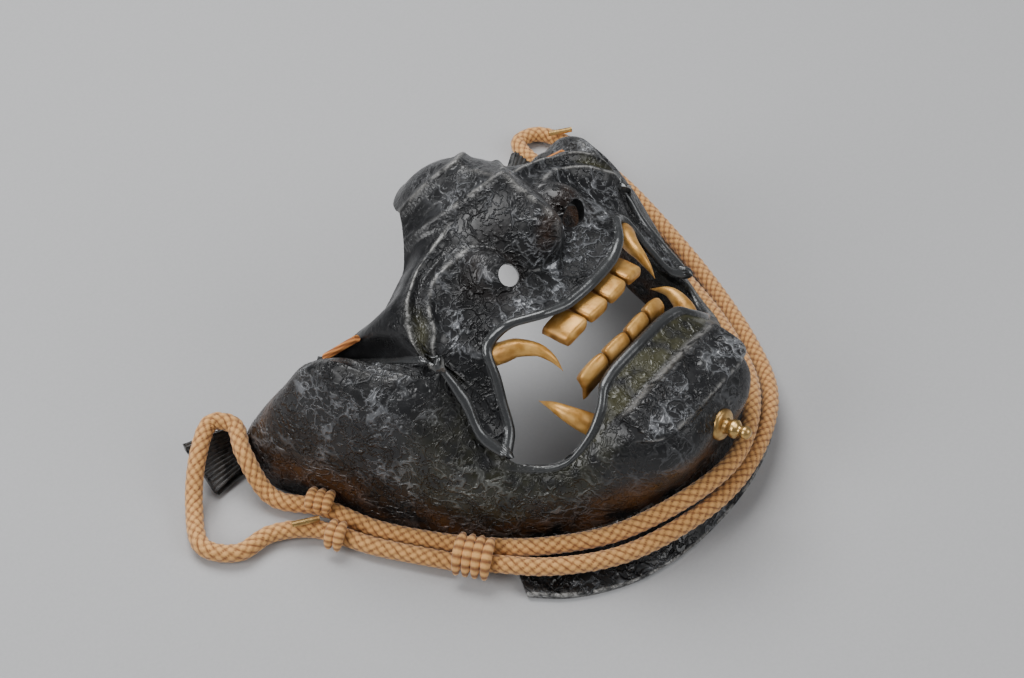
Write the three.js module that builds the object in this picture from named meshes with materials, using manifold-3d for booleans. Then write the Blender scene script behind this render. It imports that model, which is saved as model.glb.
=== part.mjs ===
// Samurai face guard: a fierce half mask lying face up, with its tie cord laid round the chin.
// Millimetres. +Z is up, +Y runs from the chin to the bridge of the nose, +X to one ear.
// The mask is symmetric about X = 0 and rests on Z = 0 on its cheek rims and its throat plate.
import * as THREE from 'three';
import { mergeVertices } from 'three/addons/utils/BufferGeometryUtils.js';
import Module from 'manifold-3d';

const wasm = await Module();
wasm.setup();

// Driving dimensions
const WALL = 3;
const SEAM = 0.6;
const TONGUE_THINNING = 0.55;
const BEAD_WIDTH = 3.6;
const BEAD_HEIGHT = 1.5;
const NOSE_BLEND = 3;
const NOSE_CENTRE_Y = 22;
const NOSE_OVERHANG = 5;
const NOSE_RISE = 22;
const WING = { x: 19, y: 9, foot: 70, height: 14, halfX: 9.5, halfY: 11 };
const NOSTRIL = { x: 16, y: 2.5, z: 75, lean: [-0.45, 0.5, -0.74], radius: 4, length: 40 };
const CHIN_BOSS_HEIGHT = 2.5;
const THROAT_WALL = 2;
const TAB_WALL = 2.6;
const TOOTH = { gap: 0.7, thick: 3.2, count: 4 };
const ARCH = { back: 0.0038, drop: 1.8e-5 };
const PEG = { y: -67.4, z: 39.1, tilt: 12 };
const LACE_RADIUS = 1.2;
const CORD_RADIUS = 3;
const CORD_SIDES = 8;
const CORD_STEPS = 80;
const KNOT_TUBE = 1.7;
const PIN = { radius: 1, length: 9 };

// Upper plate, one row for each section from the middle of the face out to one side.
// lip is the edge of the mouth, crest the fold from nose to cheek, edge the outer border,
// and bead is how far the outer border carries the raised bead.
const UPPER_SECTIONS = [
  { lip: [0, -20, 71], crest: [0, 26, 76], edge: [0, 57, 71], bead: 0 },
  { lip: [11, -19.2, 70.8], crest: [11, 26, 78], edge: [11, 52, 71], bead: 0 },
  { lip: [20, -16.4, 71.5], crest: [20, 25.5, 79.5], edge: [20, 41, 68.5], bead: 0 },
  { lip: [28.7, -9.6, 70], crest: [30, 25.3, 76.5], edge: [31, 33, 68], bead: 0 },
  { lip: [33, -6.6, 66], crest: [38, 23, 74.5], edge: [41, 31.5, 63.5], bead: 0 },
  { lip: [34.6, -6.2, 64.4], crest: [44, 20, 73.5], edge: [49, 37, 55.5], bead: 0 },
  { lip: [35.6, -6.6, 63], crest: [48.4, 15.8, 71.4], edge: [57, 48.5, 41], bead: 0.7 },
  { lip: [36.4, -7.6, 61.6], crest: [50.6, 12.5, 68.8], edge: [53, 28, 51], bead: 1 },
  { lip: [37, -9, 59.8], crest: [51, 9.8, 66.3], edge: [52, 14.5, 58.5], bead: 1 },
  { lip: [37.8, -11.2, 57], crest: [48.6, 3.5, 61], edge: [51, 5, 62.8], bead: 1 },
  { lip: [39.8, -15, 50.6], crest: [47, -6, 53.5], edge: [50.6, -4, 52.8], bead: 1 },
  { lip: [43, -20.5, 42.3], crest: [48, -15, 45], edge: [52.5, -14, 41.5], bead: 1 },
  { lip: [49, -23.6, 37.6], crest: [50.3, -23.2, 37.8], edge: [51.4, -22.2, 38.2], bead: 1 },
];

// Lower shell, one row for each section from the middle of the chin round to the end of the cheek.
// top is the lower lip and then the border under the upper plate, brow the upper swell,
// belly the lower swell, rim the border that meets the throat plate and the floor.
const JAW_SECTIONS = [
  { top: [0, -35, 56], brow: [0, -63, 50], belly: [0, -69, 39.5], rim: [0, -67.5, 25], bead: 1 },
  { top: [11, -34.8, 55.5], brow: [11, -63, 49.8], belly: [12, -69.5, 39], rim: [11, -65.5, 21.5], bead: 1 },
  { top: [20, -36, 54.7], brow: [20.5, -61.5, 48.5], belly: [22, -66, 38], rim: [20, -60.5, 16.5], bead: 1 },
  { top: [25, -38.5, 51], brow: [27.5, -54, 46.5], belly: [31, -56, 33], rim: [30, -54, 11.5], bead: 1 },
  { top: [31, -39.8, 45.5], brow: [36, -46.5, 38], belly: [40, -46, 26], rim: [40, -44.5, 7], bead: 1 },
  { top: [37.5, -38.5, 38.5], brow: [45, -39.5, 31], belly: [48.5, -36.5, 19.5], rim: [47.5, -33, 4], bead: 1 },
  { top: [44, -31, 34.8], brow: [52.5, -28, 28.5], belly: [57, -24.5, 16], rim: [54.8, -20.8, 1.5], bead: 0.8 },
  { top: [50, -20.5, 36.5], brow: [58.5, -15.5, 30], belly: [62.5, -11.5, 15.5], rim: [59.8, -8.5, 0], bead: 0 },
  { top: [49.5, -6, 48], brow: [63, -1, 40], belly: [67, 2, 19], rim: [63.8, 4.5, 0], bead: 0 },
  { top: [49.3, 4, 59.5], brow: [64.5, 9, 49], belly: [71.5, 15, 22], rim: [68.3, 17.5, 0], bead: 0 },
  { top: [50.3, 14, 56.5], brow: [66, 19, 54.5], belly: [75, 28, 25], rim: [72.8, 30.3, 0], bead: 0 },
  { top: [51.3, 28, 49], brow: [67, 31, 57], belly: [78, 41, 24], rim: [76.3, 43.3, 0], bead: 0 },
  { top: [55, 47, 39.5], brow: [67.5, 46, 46], belly: [79, 54, 19], rim: [78.6, 54.2, 0], bead: 0 },
  { top: [60, 58, 27], brow: [67.5, 58, 29], belly: [77.5, 63, 13], rim: [79, 63, 0], bead: 0 },
  { top: [66, 67, 12.5], brow: [69, 67.5, 12], belly: [74, 68.5, 6], rim: [76, 69, 0], bead: 0 },
];

// Folds of the cheek pad: from and to are sections of the lower shell, low and high how far down it.
const CHEEK_FOLDS = [
  { from: 9.2, to: 13, startDown: 0.16, endDown: 0.3, width: 0.09, height: 1.6 },
  { from: 9.2, to: 12.8, startDown: 0.3, endDown: 0.75, width: 0.13, height: 2.2 },
  { from: 9.2, to: 12.4, startDown: 0.42, endDown: 1.2, width: 0.15, height: 2.4 },
];

// Nose from the front of its tip back to its root: height of its back, half width,
// and how round its section is, from 1 like a roof to 2 like a barrel.
const NOSE_SECTIONS = [
  { y: -8, top: 58, half: 8, round: 1.5 },
  { y: -4.5, top: 76, half: 10, round: 1.5 },
  { y: -1.5, top: 86.5, half: 12.5, round: 1.5 },
  { y: 2.5, top: 92, half: 14.5, round: 1.4 },
  { y: 9, top: 95, half: 17, round: 1.35 },
  { y: 17.5, top: 97, half: 20, round: 1.35 },
  { y: 26, top: 94.5, half: 24, round: 1.5 },
  { y: 35, top: 92, half: 26.5, round: 1.7 },
  { y: 44, top: 87.2, half: 27, round: 1.8 },
  { y: 51, top: 80.5, half: 25, round: 1.9 },
  { y: 57.5, top: 69, half: 22, round: 2 },
];

// Snarl wrinkles across the nose: where each crosses the middle, how far it sweeps back at reach.
const NOSE_WRINKLES = [
  { middle: 17.5, sweep: 18, reach: 22, height: 2.2, width: 3 },
  { middle: 35, sweep: 9, reach: 16, height: 2.2, width: 3 },
];

// Throat plate, one row for each section from the middle to one end: root at the jaw, hem on the floor.
const THROAT_SECTIONS = [
  { root: [0, -66.5, 25], hem: [0, -75, 0.5] },
  { root: [11, -64.5, 21.5], hem: [12, -74.5, 0.6] },
  { root: [20, -59.8, 17], hem: [25, -72.5, 0.9] },
  { root: [30, -53.2, 12.3], hem: [38, -68.5, 1.2] },
  { root: [40, -43.8, 8.5], hem: [50, -61.5, 1.6] },
  { root: [47.5, -32.2, 6.2], hem: [60, -52.5, 2] },
  { root: [53.2, -23.4, 5], hem: [66.5, -43, 2.2] },
];

// Teeth of one side of each jaw: face is the front of a tooth from its root to its edge, out the way
// it looks, bar the section of the strip that carries the row behind the lip.
const TOOTH_ROWS = [
  {
    name: 'upper_teeth',
    pitch: 10.4,
    face: [[-15.5, 68.2], [-19.5, 68.9], [-24, 68.9], [-25.6, 68]],
    out: [-0.05, 1],
    bar: [[-19.5, 65], [-19.5, 69.4], [-13.5, 70.6], [-13.5, 66]],
  },
  {
    name: 'lower_teeth',
    pitch: 11.2,
    face: [[-34.4, 51], [-34.3, 55.8], [-32.4, 58.6], [-31.2, 58.9]],
    out: [-0.6, 0.8],
    bar: [[-40, 49.2], [-40, 53.4], [-34.4, 54], [-32.6, 51]],
  },
];

// Fangs of the +X side: points along the middle of each, from its root to its tip.
const FANGS = [
  {
    name: 'upper_fang',
    radius: 3.7,
    path: [[36, -2.5, 58], [33.2, -8, 61.6], [30, -11.8, 63.4], [27.2, -17, 63.6], [25.8, -22.3, 61.4], [25.3, -25.8, 57.9]],
  },
  {
    name: 'lower_fang',
    radius: 3.6,
    path: [[27.5, -39, 43.5], [30.2, -34.3, 46.4], [31.6, -27.9, 48], [30.9, -20.8, 45.9]],
  },
];

// Peg on the chin: radius at each distance from its seat.
const PEG_PROFILE = [
  { radius: 5.2, out: 0 },
  { radius: 5.2, out: 2.4 },
  { radius: 4.4, out: 3 },
  { radius: 2.6, out: 3.4 },
  { radius: 2.4, out: 5 },
  { radius: 3, out: 6.2 },
  { radius: 3, out: 7.2 },
  { radius: 1.7, out: 8.6 },
  { radius: 2.1, out: 10 },
  { radius: 1.8, out: 11.4 },
  { radius: 0.9, out: 12.2 },
];

// Tab behind each cheek: its edge beside the cheek and its outer edge, low end first.
const TAB = { inner: [[80.3, 62.5, 1.7], [74.5, 70.5, 11]], outer: [[94, 62.5, 1.7], [91, 78.6, 11]] };

// Tie cord: one doubled cord from the near knot round the chin to the far ear, back round the chin
// above itself, along the near cheek, round the near ear and home. leg is the stretch it belongs to.
const CORD_ROUTE = [
  { leg: 'outer', at: [-66.8, -27, 5.8] },
  { leg: 'outer', at: [-57, -45.5, 8.2] },
  { leg: 'outer', at: [-39.8, -61.2, 9] },
  { leg: 'outer', at: [-16.5, -72, 12.2] },
  { leg: 'outer', at: [4, -74.6, 12.8] },
  { leg: 'outer', at: [28, -70, 11.5] },
  { leg: 'outer', at: [46, -61.2, 9.5] },
  { leg: 'outer', at: [62, -44.5, 7] },
  { leg: 'outer', at: [82, -16, 3.2] },
  { leg: 'far ear', at: [96, 12, 3.2] },
  { leg: 'far ear', at: [109, 44, 3.2] },
  { leg: 'far ear', at: [115, 72, 3.2] },
  { leg: 'far ear', at: [112, 84.5, 3.2] },
  { leg: 'far ear', at: [104, 87, 3.2] },
  { leg: 'far ear', at: [99.5, 79, 3.2] },
  { leg: 'far ear', at: [97.5, 52, 3.2] },
  { leg: 'far ear', at: [87, 20, 3.2] },
  { leg: 'inner', at: [76, -10, 5] },
  { leg: 'inner', at: [56.5, -38.5, 12] },
  { leg: 'inner', at: [33.5, -61.2, 19] },
  { leg: 'inner', at: [10, -71.4, 20.6] },
  { leg: 'inner', at: [-8, -71, 20.2] },
  { leg: 'inner', at: [-34.8, -56.8, 12.4] },
  { leg: 'inner', at: [-51, -40.6, 9] },
  { leg: 'near cheek', at: [-60.6, -25.5, 6.6] },
  { leg: 'near cheek', at: [-67.2, -8.4, 3.2] },
  { leg: 'near cheek', at: [-75.2, 11, 3.2] },
  { leg: 'near cheek', at: [-79.6, 29.5, 4.6] },
  { leg: 'near ear', at: [-85.6, 46, 4] },
  { leg: 'near ear', at: [-83, 59.5, 14] },
  { leg: 'near ear', at: [-77.4, 68.5, 16.4] },
  { leg: 'near ear', at: [-81, 75, 16.6] },
  { leg: 'near ear', at: [-91.5, 71.6, 13] },
  { leg: 'near ear', at: [-104, 63.2, 4.6] },
  { leg: 'near ear', at: [-113.8, 50.5, 3.2] },
  { leg: 'near ear', at: [-109, 40, 3.2] },
  { leg: 'near ear', at: [-97, 36.6, 3.2] },
  { leg: 'home', at: [-87.4, 27, 3.2] },
  { leg: 'home', at: [-80.8, 6, 3.2] },
  { leg: 'home', at: [-71, -17.5, 3.4] },
];

// Knots of the cord: turns wrapped over its strands, their half height and half width,
// and the arc that they cover, in degrees to each side of the top.
const KNOTS = [
  { name: 'knot_chin', centre: [-66.8, -22.6, 4.8], along: [0.4, -0.92, 0], rise: 7.3, reach: 7, from: -35, to: 92 },
  { name: 'knot_cheek', centre: [-80.1, 29.8, 4.7], along: [-0.39, 0.92, 0], rise: 5.3, reach: 5.3, from: -54, to: 52 },
  { name: 'knot_floor', centre: [-84.9, 18.5, 3.2], along: [-0.32, 0.95, 0], rise: 5.3, reach: 5.3, from: -88, to: 24 },
];
const PINS = [
  { name: 'pin_near', centre: [-89, 28.4, 7.7], along: [0.8, -0.6, 0] },
  { name: 'pin_far', centre: [114.6, 75, 7.6], along: [-0.8, 0.6, 0] },
];

// Smooth curve through values at rising knots that never overshoots them, straight beyond its ends.
function smooth(knots, values, t) {
  const last = knots.length - 1;
  const grade = (k) => (values[k + 1] - values[k]) / (knots[k + 1] - knots[k]);
  if (t <= knots[0]) return values[0] + grade(0) * (t - knots[0]);
  if (t >= knots[last]) return values[last] + grade(last - 1) * (t - knots[last]);
  let k = 0;
  while (t > knots[k + 1]) k += 1;
  const slope = (j) => {
    if (j === 0) return grade(0);
    if (j === last) return grade(last - 1);
    const before = grade(j - 1);
    const after = grade(j);
    return before * after <= 0 ? 0 : (2 * before * after) / (before + after);
  };
  const width = knots[k + 1] - knots[k];
  const s = (t - knots[k]) / width;
  const near = values[k] * (1 + 2 * s) + slope(k) * width * s;
  const far = values[k + 1] * (3 - 2 * s) - slope(k + 1) * width * (1 - s);
  return near * (1 - s) ** 2 + far * s ** 2;
}

const clamp01 = (x) => Math.min(Math.max(x, 0), 1);
const ease = (from, to, x) => {
  const s = clamp01((x - from) / (to - from));
  return s * s * (3 - 2 * s);
};
const bump = (distance, width) => Math.exp(-((distance / width) ** 2));
// The larger of two heights, rounded over where they meet.
const blendMax = (a, b, soft) => 0.5 * (a + b + Math.sqrt((a - b) ** 2 + soft ** 2));

// A sheet through a table of sections that is mirrored to the other side of the face.
// across counts sections from the middle, down counts the named columns from the first.
class Sheet {
  constructor(sections, columns, facing) {
    this.facing = facing;
    this.last = sections.length - 1;
    this.reach = columns.length - 1;
    this.rows = [];
    for (let k = -this.last; k <= this.last; k += 1) {
      const section = sections[Math.abs(k)];
      this.rows.push(columns.map((name) => [section[name][0] * Math.sign(k), section[name][1], section[name][2]]));
    }
    this.knots = this.rows.map((row, k) => k - this.last);
    this.steps = columns.map((name, k) => k);
  }

  at(across, down) {
    const axis = (i) => {
      const column = this.steps.map((c) => smooth(this.knots, this.rows.map((row) => row[c][i]), across));
      return smooth(this.steps, column, down);
    };
    return new THREE.Vector3(axis(0), axis(1), axis(2));
  }

  normal(across, down) {
    const step = 0.02;
    const along = this.at(across + step, down).sub(this.at(across - step, down));
    const aside = this.at(across, down + step).sub(this.at(across, down - step));
    return along.cross(aside).normalize().multiplyScalar(this.facing);
  }

  // Length of the first and the last stretch between columns, which turns millimetres into down.
  stretch(across, first) {
    const [a, b] = first ? [0, 1] : [this.reach - 1, this.reach];
    return this.at(across, a).distanceTo(this.at(across, b));
  }
}

const upper = new Sheet(UPPER_SECTIONS, ['lip', 'crest', 'edge'], 1);
const jaw = new Sheet(JAW_SECTIONS, ['top', 'brow', 'belly', 'rim'], -1);
const throat = new Sheet(THROAT_SECTIONS, ['root', 'hem'], -1);

// Round bead along a border, as a height at a distance from that border.
function bead(distance) {
  const s = (2 * distance) / BEAD_WIDTH - 1;
  return BEAD_HEIGHT * Math.sqrt(Math.max(0, 1 - s * s));
}

const carries = (sections, across) => {
  const knots = sections.map((section, k) => k);
  return clamp01(smooth(knots, sections.map((section) => section.bead), Math.abs(across)));
};

// Height of the nose over the floor at a place on the face; shrink gives its hollow inside.
function noseHeight(x, y, shrink) {
  const knots = NOSE_SECTIONS.map((section) => section.y);
  const column = (name, at) => smooth(knots, NOSE_SECTIONS.map((section) => section[name]), at);
  const yIn = NOSE_CENTRE_Y + (y - NOSE_CENTRE_Y) * (1 + shrink / 32);
  const side = Math.abs(x) / Math.max(column('half', yIn) - shrink, 3);
  let top = column('top', yIn) - shrink;
  for (const wrinkle of NOSE_WRINKLES) {
    const crest = wrinkle.middle + wrinkle.sweep * (Math.abs(x) / wrinkle.reach) ** 1.3;
    if (shrink === 0) top += wrinkle.height * bump(y - crest, wrinkle.width);
  }
  return top - NOSE_RISE * side ** column('round', yIn);
}

function wingHeight(x, y, shrink) {
  const dx = (Math.abs(x) - WING.x) / (WING.halfX - shrink);
  const dy = (y - WING.y) / (WING.halfY - shrink);
  const inside = 1 - dx * dx - dy * dy;
  return WING.foot - shrink + WING.height * Math.sign(inside) * Math.sqrt(Math.abs(inside));
}

// Lifts a point of the upper plate onto the nose and its wings and leans the tip forward.
function liftNose(point, shrink) {
  const flat = point.z;
  let z = blendMax(flat, noseHeight(point.x, point.y, shrink), NOSE_BLEND);
  z = blendMax(z, wingHeight(point.x, point.y, shrink), NOSE_BLEND / 2);
  const lean = NOSE_OVERHANG * ease(0, 18, z - flat) * (1 - ease(4, 26, point.y));
  return new THREE.Vector3(point.x, point.y - lean, z);
}

// Raised folds of the upper plate: a sharp crest and a second fold inside it.
function upperRelief(across, down) {
  const away = Math.abs(across);
  const fade = ease(1.2, 2.2, away) * (1 - ease(8.5, 10, away));
  return fade * (1.2 * bump(down - 1, 0.09) + 1.6 * bump(down - 0.72, 0.08) - 0.8 * bump(down - 0.87, 0.06));
}

function upperOutside(across, down, grow = 0) {
  const lipBead = bead(down * upper.stretch(across, true));
  const edgeBead = bead((upper.reach - down) * upper.stretch(across, false));
  const relief = lipBead + edgeBead * carries(UPPER_SECTIONS, across) + upperRelief(across, down);
  const point = upper.at(across, down).addScaledVector(upper.normal(across, down), relief + grow);
  return liftNose(point, 0);
}

function upperInside(across, down, grow = 0) {
  const depth = WALL * (1 - TONGUE_THINNING * ease(9, 12, Math.abs(across)));
  const point = upper.at(across, down).addScaledVector(upper.normal(across, down), -depth - grow);
  return liftNose(point, WALL);
}

// Relief of the lower shell: bead of the lip, boss of the chin and folds of the cheek pads.
function jawRelief(across, down) {
  const away = Math.abs(across);
  let relief = bead(down * jaw.stretch(across, true)) * carries(JAW_SECTIONS, across);
  relief += CHIN_BOSS_HEIGHT * ease(0.38, 0.52, down) * (1 - ease(1.02, 1.25, down)) * (1 - ease(2.3, 3.2, away));
  for (const fold of CHEEK_FOLDS) {
    const s = clamp01((away - fold.from) / (fold.to - fold.from));
    const centre = fold.startDown + (fold.endDown - fold.startDown) * s;
    const ends = ease(0, 0.15, s) * (1 - ease(0.75, 1, s));
    relief += fold.height * ends * bump(down - centre, fold.width * (0.6 + s));
  }
  return relief;
}

const onFloor = (point) => point.setZ(Math.max(point.z, 0));

function jawOutside(across, down, grow = 0) {
  const relief = jawRelief(across, down) + grow;
  return onFloor(jaw.at(across, down).addScaledVector(jaw.normal(across, down), relief));
}

// The inside comes down level with the rim, so that the rim ends in a flat strip.
function jawInside(across, down, grow = 0) {
  const point = jaw.at(across, down).addScaledVector(jaw.normal(across, down), -WALL - grow);
  const rimHeight = jaw.at(across, jaw.reach).z;
  return onFloor(point.setZ(THREE.MathUtils.lerp(point.z, rimHeight, ease(jaw.reach - 0.6, jaw.reach, down))));
}

// Values from a list of knots with a number of equal steps between each pair.
function divide(knots, steps) {
  const values = [];
  for (let k = 0; k + 1 < knots.length; k += 1) {
    const n = typeof steps === 'number' ? steps : steps[k];
    for (let i = 0; i < n; i += 1) values.push(knots[k] + ((knots[k + 1] - knots[k]) * i) / n);
  }
  values.push(knots[knots.length - 1]);
  return values;
}

const mirrored = (values) => [...values.slice(1).reverse().map((v) => -v), ...values];

// Closed wall between an outside and an inside surface over the same grid.
function wall(acrossLines, downLines, outside, inside) {
  const count = downLines(0).length;
  const points = [outside, inside].flatMap((side) =>
    acrossLines.flatMap((across) => downLines(across).map((down) => side(across, down))));
  const layer = acrossLines.length * count;
  const index = [];
  const quad = (a, b, c, d) => index.push(a, b, c, a, c, d);
  const at = (side, i, j) => side * layer + i * count + j;
  const lastI = acrossLines.length - 1;
  const lastJ = count - 1;
  for (let i = 0; i < lastI; i += 1) {
    for (let j = 0; j < lastJ; j += 1) {
      quad(at(0, i, j), at(0, i + 1, j), at(0, i + 1, j + 1), at(0, i, j + 1));
      quad(at(1, i, j), at(1, i, j + 1), at(1, i + 1, j + 1), at(1, i + 1, j));
    }
    quad(at(1, i, 0), at(1, i + 1, 0), at(0, i + 1, 0), at(0, i, 0));
    quad(at(0, i, lastJ), at(0, i + 1, lastJ), at(1, i + 1, lastJ), at(1, i, lastJ));
  }
  for (let j = 0; j < lastJ; j += 1) {
    quad(at(0, 0, j), at(0, 0, j + 1), at(1, 0, j + 1), at(1, 0, j));
    quad(at(1, lastI, j), at(1, lastI, j + 1), at(0, lastI, j + 1), at(0, lastI, j));
  }
  const geometry = new THREE.BufferGeometry();
  geometry.setAttribute('position', new THREE.Float32BufferAttribute(points.flatMap((p) => p.toArray()), 3));
  geometry.setIndex(index);
  return geometry;
}

// Turns a closed geometry into a solid that can be joined and cut, faces out whichever way it was wound.
function solid(geometry) {
  const bare = geometry.clone();
  for (const name of Object.keys(bare.attributes)) {
    if (name !== 'position') bare.deleteAttribute(name);
  }
  const merged = mergeVertices(bare, 1e-4);
  const index = Array.from(merged.index.array);
  const p = merged.attributes.position;
  const corner = (i) => new THREE.Vector3().fromBufferAttribute(p, i);
  const triangles = [];
  let volume = 0;
  for (let k = 0; k < index.length; k += 3) {
    const [a, b, c] = index.slice(k, k + 3);
    if (a === b || b === c || c === a) continue;
    volume += corner(a).dot(corner(b).cross(corner(c)));
    triangles.push([a, b, c]);
  }
  const wound = volume < 0 ? triangles.map(([a, b, c]) => [a, c, b]) : triangles;
  return new wasm.Manifold(new wasm.Mesh({
    numProp: 3,
    vertProperties: Float32Array.from(p.array),
    triVerts: Uint32Array.from(wound.flat()),
  }));
}

function geometryOf(body) {
  const mesh = body.getMesh();
  const geometry = new THREE.BufferGeometry();
  geometry.setAttribute('position', new THREE.BufferAttribute(Float32Array.from(mesh.vertProperties), 3));
  geometry.setIndex(Array.from(mesh.triVerts));
  return geometry;
}

// Grid lines: extra lines close to each beaded border, so that the bead is round.
const BEAD_LINES = [0, 0.7, BEAD_WIDTH - 0.7, BEAD_WIDTH];
const UPPER_ACROSS = mirrored(divide(UPPER_SECTIONS.map((section, k) => k), [2, 2, 2, 2, 1, 1, 1, 1, 1, 2, 2, 1]));
const JAW_ACROSS = mirrored(divide(JAW_SECTIONS.map((section, k) => k), [2, 2, 2, 2, 1, 1, 1, 1, 1, 1, 1, 1, 1, 1]));

function upperDown(across) {
  const first = upper.stretch(across, true);
  const last = upper.stretch(across, false);
  const lip = BEAD_LINES.map((d) => Math.min(d / first, 0.2 + d / 100));
  const edge = BEAD_LINES.map((d) => upper.reach - Math.min(d / last, 0.3 + d / 100)).reverse();
  const from = lip[lip.length - 1];
  const middle = [0.16, 0.3, 0.42, 0.54, 0.66, 0.78, 0.88].map((s) => from + (1 - from) * s);
  const to = edge[0];
  const outer = [0, 0.22, 0.45, 0.7].map((s) => 1 + (to - 1) * s);
  return [...lip, ...middle, ...outer, ...edge];
}

function jawDown(across) {
  const lip = BEAD_LINES.map((d) => d / jaw.stretch(across, true));
  const from = lip[lip.length - 1];
  const first = [0.15, 0.32, 0.5, 0.66, 0.83].map((s) => from + (1 - from) * s);
  return [...lip, ...first, 1, 1.17, 1.35, 1.6, 2, 2.5, 3];
}

// Grown copies of the two shells, which cut a fitting seam into whatever sits against them.
function stretchEnds(values, before, after) {
  return [values[0] - before, ...values.slice(1, -1), values[values.length - 1] + after];
}
const grownDown = (sheet, lines) => (across) => {
  const [first, last] = [true, false].map((end) => SEAM / sheet.stretch(across, end));
  return stretchEnds(lines(across), first, last);
};
const upperGrown = solid(wall(
  stretchEnds(UPPER_ACROSS, 0.08, 0.08),
  grownDown(upper, upperDown),
  (across, down) => upperOutside(across, down, SEAM),
  (across, down) => upperInside(across, down, SEAM),
));
const jawGrown = solid(wall(
  stretchEnds(JAW_ACROSS, 0.06, 0.06),
  grownDown(jaw, jawDown),
  (across, down) => jawOutside(across, down, SEAM),
  (across, down) => jawInside(across, down, SEAM),
));

// Materials
const lacquer = new THREE.MeshStandardMaterial({ color: 0x17181a, roughness: 0.45, metalness: 0.35 });
const gilt = new THREE.MeshStandardMaterial({ color: 0xc08a3e, roughness: 0.4, metalness: 0.7 });
const brass = new THREE.MeshStandardMaterial({ color: 0xb98f45, roughness: 0.3, metalness: 0.9 });
const braid = new THREE.MeshStandardMaterial({ color: 0xc99a62, roughness: 0.9, metalness: 0 });

const mask = new THREE.Group();
function place(name, body, material) {
  const mesh = new THREE.Mesh(body.getMesh ? geometryOf(body) : body, material);
  mesh.name = name;
  mask.add(mesh);
}

// Upper plate with its two nostrils cut through
function nostril(side) {
  const cut = new THREE.CylinderGeometry(NOSTRIL.radius, NOSTRIL.radius, NOSTRIL.length, 12);
  const lean = new THREE.Vector3(NOSTRIL.lean[0] * side, NOSTRIL.lean[1], NOSTRIL.lean[2]).normalize();
  cut.applyQuaternion(new THREE.Quaternion().setFromUnitVectors(new THREE.Vector3(0, 1, 0), lean));
  cut.translate(NOSTRIL.x * side, NOSTRIL.y, NOSTRIL.z);
  return solid(cut);
}
let upperFace = solid(wall(UPPER_ACROSS, upperDown, upperOutside, upperInside));
for (const side of [-1, 1]) upperFace = upperFace.subtract(nostril(side));
place('upper_face', upperFace, lacquer);

// Lower shell, cut clear of the upper plate
const jawShell = solid(wall(JAW_ACROSS, jawDown, jawOutside, jawInside)).subtract(upperGrown);
place('jaw_shell', jawShell, lacquer);

// Throat plate, hollowed a little between root and hem
const throatAcross = mirrored(divide(THROAT_SECTIONS.map((section, k) => k), 2));
const throatHollow = (across, down) => 0.08 * throat.at(across, 0).z * Math.sin(Math.PI * down);
const throatSide = (depth) => (across, down) => {
  const sink = throatHollow(across, down) + depth;
  return onFloor(throat.at(across, down).addScaledVector(throat.normal(across, down), -sink));
};
const throatPlate = solid(wall(throatAcross, () => divide([0, 1], 4), throatSide(0), throatSide(THROAT_WALL)));
place('throat_plate', throatPlate.subtract(jawGrown), lacquer);

// Closed body through rings of points, capped at both ends.
function loft(rings) {
  const count = rings[0].length;
  const index = [];
  for (let k = 0; k + 1 < rings.length; k += 1) {
    for (let i = 0; i < count; i += 1) {
      const a = k * count + i;
      const b = k * count + ((i + 1) % count);
      index.push(a, b, b + count, a, b + count, a + count);
    }
  }
  const end = (rings.length - 1) * count;
  for (let i = 1; i + 1 < count; i += 1) {
    index.push(0, i + 1, i);
    index.push(end, end + i, end + i + 1);
  }
  const geometry = new THREE.BufferGeometry();
  const points = rings.flat().flatMap((p) => p.toArray());
  geometry.setAttribute('position', new THREE.Float32BufferAttribute(points, 3));
  geometry.setIndex(index);
  return geometry;
}

// Teeth: each one swells out in front and narrows to a rounded edge; the row bends round the arch.
const arched = (x, y, z) => new THREE.Vector3(x, y + ARCH.back * x ** 2, z - ARCH.drop * x ** 4);
const TOOTH_OUTLINE = [
  { side: -1, depth: 1 }, { side: -1, depth: 0.35 }, { side: -0.6, depth: 0.04 }, { side: 0.6, depth: 0.04 },
  { side: 1, depth: 0.35 }, { side: 1, depth: 1 },
];
const TOOTH_FULLNESS = [0.94, 1, 0.98, 0.86];

function tooth(row, centre) {
  const rings = row.face.map(([y, z], k) => TOOTH_OUTLINE.map(({ side, depth }) => {
    const half = ((row.pitch - TOOTH.gap) / 2) * TOOTH_FULLNESS[k];
    const sink = TOOTH.thick * depth;
    return arched(centre + side * half, y - row.out[0] * sink, z - row.out[1] * sink);
  }));
  return solid(loft(rings));
}

for (const row of TOOTH_ROWS) {
  const halfRow = (row.pitch * TOOTH.count) / 2 - TOOTH.gap;
  const bar = divide([-halfRow, halfRow], 6).map((x) => row.bar.map(([y, z]) => arched(x, y, z)));
  let body = solid(loft(bar));
  for (let k = 0; k < TOOTH.count; k += 1) {
    body = body.add(tooth(row, (k - (TOOTH.count - 1) / 2) * row.pitch));
  }
  place(row.name, body.subtract(upperGrown).subtract(jawGrown), gilt);
}

// Fangs: round bodies that taper along a bent path
function fang(points, radius) {
  const path = new THREE.CatmullRomCurve3(points);
  const steps = 8;
  const frames = path.computeFrenetFrames(steps, false);
  const rings = divide([0, 1], steps).map((t, k) => divide([0, 2 * Math.PI], 10).slice(0, -1).map((turn) => {
    const r = Math.max(radius * (1 - t ** 1.7), 0.35);
    return path.getPointAt(t)
      .addScaledVector(frames.normals[k], r * Math.cos(turn))
      .addScaledVector(frames.binormals[k], r * Math.sin(turn));
  }));
  return solid(loft(rings));
}
for (const { name, radius, path } of FANGS) {
  for (const [sideName, side] of [['near', -1], ['far', 1]]) {
    const points = path.map(([x, y, z]) => new THREE.Vector3(x * side, y, z));
    place(`${name}_${sideName}`, fang(points, radius).subtract(upperGrown).subtract(jawGrown), gilt);
  }
}

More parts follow.
